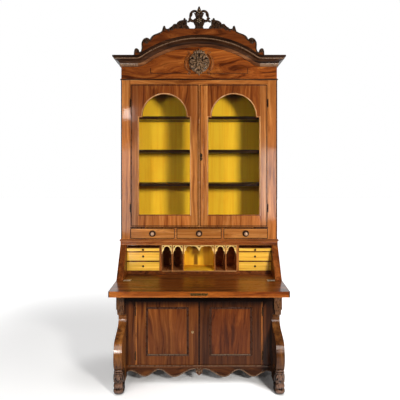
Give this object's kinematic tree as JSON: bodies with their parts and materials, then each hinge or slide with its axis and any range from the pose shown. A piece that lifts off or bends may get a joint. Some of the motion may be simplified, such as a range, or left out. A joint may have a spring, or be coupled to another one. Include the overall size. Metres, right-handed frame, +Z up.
{
  "type": "secretary bookcase",
  "caption": "Tall secretary bookcase with arched cornice and fretted crest, glazed doors, frieze drawers, drop-front desk with fitted interior, and cupboard between scroll legs.",
  "frame": {"origin": "on the floor under the middle of the whole piece with its flap open", "axes": "+Z up, -Y towards the person at the desk, +X to that person's right"},
  "size_m": [1.264, 0.806, 2.6918],
  "materials": {
    "rosewood": "polished figured wood",
    "dark_carving": "dark polished carving",
    "pine": "plain hidden wood",
    "yellow_lining": "matte ochre paint",
    "interior_wood": "satin dark wood",
    "satinwood": "pale yellow veneer",
    "glass": "clear pane",
    "brass": "aged brass"
  },
  "bodies": {
    "case": {"cabinet_sides": "rosewood", "cabinet_boards": "rosewood", "cabinet_shelf": "rosewood", "cabinet_face_frame": "rosewood", "apron": "rosewood", "scroll_legs": "rosewood", "corbel_blocks": "rosewood", "desk_sides": "rosewood", "writing_board": "rosewood", "desk_top": "rosewood", "waist_moulding": "rosewood", "bookcase_sides": "rosewood", "bookcase_face_frame": "rosewood", "pediment_board": "rosewood", "pediment_bead": "rosewood", "cornice": "rosewood", "crest_panel": "rosewood", "drawer_partitions": "rosewood", "front_feet": "dark_carving", "crest_carving": "dark_carving", "cartouche": "dark_carving", "bookshelves": "dark_carving", "back_boards": "pine", "rear_feet": "pine", "hood_boards": "pine", "bookcase_boards": "pine", "bookcase_back": "yellow_lining", "niche_back": "yellow_lining", "desk_interior": "interior_wood", "drawer_runners": "satinwood", "pigeonhole_arches": "satinwood", "niche_arch": "satinwood", "fixed_hinges": "brass", "shelf_pegs": "brass"},
    "left_glazed_leaf": {"left_glazed_door": "rosewood", "left_glass": "glass", "left_door_hinges": "brass"},
    "right_glazed_leaf": {"right_glazed_door": "rosewood", "right_glass": "glass", "right_door_fittings": "brass"},
    "left_cupboard_leaf": {"left_cupboard_door": "rosewood", "left_cupboard_panel": "rosewood", "left_cupboard_fittings": "brass"},
    "right_cupboard_leaf": {"right_cupboard_door": "rosewood", "right_cupboard_panel": "rosewood", "right_cupboard_hinges": "brass"},
    "flap": {"writing_flap": "rosewood", "flap_fittings": "brass"},
    "left_frieze": {"left_frieze_drawer": "rosewood", "left_frieze_knob": "dark_carving"},
    "middle_frieze": {"middle_frieze_drawer": "rosewood", "middle_frieze_knob": "dark_carving"},
    "right_frieze": {"right_frieze_drawer": "rosewood", "right_frieze_knob": "dark_carving"},
    "left_low_box": {"left_low_drawer": "satinwood"},
    "left_middle_box": {"left_middle_drawer": "satinwood"},
    "left_thin_box": {"left_thin_drawer": "satinwood"},
    "right_low_box": {"right_low_drawer": "satinwood"},
    "right_middle_box": {"right_middle_drawer": "satinwood"},
    "right_thin_box": {"right_thin_drawer": "satinwood"}
  },
  "joints": [
    {"name": "left_glazed_hinge", "type": "hinge", "parent": "case", "child": "left_glazed_leaf", "pos_m": [-0.5085, 0.024, 1.075], "axis": [0, 0, -1], "range_deg": [0, 110]},
    {"name": "right_glazed_hinge", "type": "hinge", "parent": "case", "child": "right_glazed_leaf", "pos_m": [0.5085, 0.024, 1.075], "axis": [0, 0, 1], "range_deg": [0, 110]},
    {"name": "left_cupboard_hinge", "type": "hinge", "parent": "case", "child": "left_cupboard_leaf", "pos_m": [-0.4465, -0.136, 0.128], "axis": [0, 0, -1], "range_deg": [0, 95]},
    {"name": "right_cupboard_hinge", "type": "hinge", "parent": "case", "child": "right_cupboard_leaf", "pos_m": [0.4465, -0.136, 0.128], "axis": [0, 0, 1], "range_deg": [0, 95]},
    {"name": "flap_hinge", "type": "hinge", "parent": "case", "child": "flap", "pos_m": [0, -0.133, 0.723], "axis": [1, 0, 0], "range_deg": [-125.8, 0]},
    {"name": "left_frieze_slide", "type": "slide", "parent": "case", "child": "left_frieze", "axis": [0, -1, 0], "range_m": [0, 0.2]},
    {"name": "middle_frieze_slide", "type": "slide", "parent": "case", "child": "middle_frieze", "axis": [0, -1, 0], "range_m": [0, 0.2]},
    {"name": "right_frieze_slide", "type": "slide", "parent": "case", "child": "right_frieze", "axis": [0, -1, 0], "range_m": [0, 0.2]},
    {"name": "left_low_box_slide", "type": "slide", "parent": "case", "child": "left_low_box", "axis": [0, -1, 0], "range_m": [0, 0.11]},
    {"name": "left_middle_box_slide", "type": "slide", "parent": "case", "child": "left_middle_box", "axis": [0, -1, 0], "range_m": [0, 0.11]},
    {"name": "left_thin_box_slide", "type": "slide", "parent": "case", "child": "left_thin_box", "axis": [0, -1, 0], "range_m": [0, 0.11]},
    {"name": "right_low_box_slide", "type": "slide", "parent": "case", "child": "right_low_box", "axis": [0, -1, 0], "range_m": [0, 0.11]},
    {"name": "right_middle_box_slide", "type": "slide", "parent": "case", "child": "right_middle_box", "axis": [0, -1, 0], "range_m": [0, 0.11]},
    {"name": "right_thin_box_slide", "type": "slide", "parent": "case", "child": "right_thin_box", "axis": [0, -1, 0], "range_m": [0, 0.11]}
  ]
}
